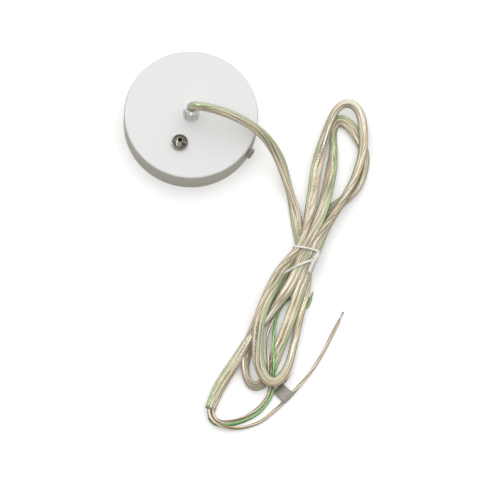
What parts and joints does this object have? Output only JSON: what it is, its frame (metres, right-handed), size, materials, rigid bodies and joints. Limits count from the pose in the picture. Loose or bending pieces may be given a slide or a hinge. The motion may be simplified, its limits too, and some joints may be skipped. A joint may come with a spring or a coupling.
{
  "type": "electrical ceiling rose",
  "caption": "Round steel ceiling rose for a pendant lamp, with a clear cord grip, a gripper for a suspension wire, an inner strap bracket, and a clear lead tied in a hank.",
  "frame": {"origin": "centre of the cup's rim, in the plane that lies against the ceiling", "axes": "+Z out of the cup's closed face, away from the ceiling; +X along the strap bracket through the side screw"},
  "size_m": [0.2276, 0.2699, 0.051],
  "materials": {
    "white_powder_coat": "white powder coat on pressed steel",
    "clear_plastic": "clear moulded plastic",
    "nickel": "bright nickel plate",
    "zinc_plated_steel": "zinc plated steel",
    "brass": "machined brass",
    "white_nylon": "moulded nylon",
    "tinned_copper": "tinned copper",
    "clear_sheath": "clear soft sheath over gold and green cores",
    "clear_core": "clear insulation over stranded copper",
    "green_core": "green insulation",
    "grey_film": "grey adhesive film",
    "white_tie": "white plastic covered wire"
  },
  "bodies": {
    "rose": {"canopy_cup": "white_powder_coat", "cord_grip_body": "clear_plastic", "cord_grip_washer": "zinc_plated_steel", "cord_grip_nut": "zinc_plated_steel", "gripper_body": "nickel", "gripper_spring": "zinc_plated_steel", "gripper_end_plug": "nickel", "gripper_washer": "zinc_plated_steel", "gripper_nut": "zinc_plated_steel", "ceiling_bracket": "zinc_plated_steel", "terminal_housing": "white_nylon", "terminal_inserts": "brass", "terminal_screws": "zinc_plated_steel", "terminal_block_screw": "zinc_plated_steel", "earth_washer": "zinc_plated_steel", "earth_ring_terminal": "tinned_copper", "earth_screw": "zinc_plated_steel", "lead_in_grip": "clear_sheath", "inner_core_line": "clear_core", "inner_core_neutral": "clear_core", "inner_core_earth": "green_core", "cord_feed": "clear_sheath", "cord_hank": "clear_sheath", "cord_tail": "clear_sheath", "free_core_line": "clear_core", "free_core_earth": "green_core", "free_core_neutral": "clear_core", "free_core_tip": "tinned_copper", "core_flag": "grey_film", "twist_tie": "white_tie"},
    "wire_release": {"gripper_plunger": "nickel", "gripper_balls": "zinc_plated_steel"},
    "knurled_screw": {"side_screw": "nickel"},
    "clamp_screw": {"cord_grip_screw": "zinc_plated_steel"}
  },
  "joints": [
    {"name": "wire_release_press", "type": "slide", "parent": "rose", "child": "wire_release", "axis": [0, 0, 1], "range_m": [-0.0025, 0], "stiffness_N_per_m": 200, "springref_m": 0.002, "deforming": ["gripper_spring"]},
    {"name": "side_screw_turn", "type": "hinge", "parent": "rose", "child": "knurled_screw", "pos_m": [0.0501, 0, 0.011], "axis": [1, 0, 0], "range_deg": [0, 1080]},
    {"name": "clamp_screw_turn", "type": "hinge", "parent": "rose", "child": "clamp_screw", "pos_m": [0.00178, -0.00284, 0.0371], "axis": [0.5299, -0.848, 0], "range_deg": [0, 720]}
  ]
}
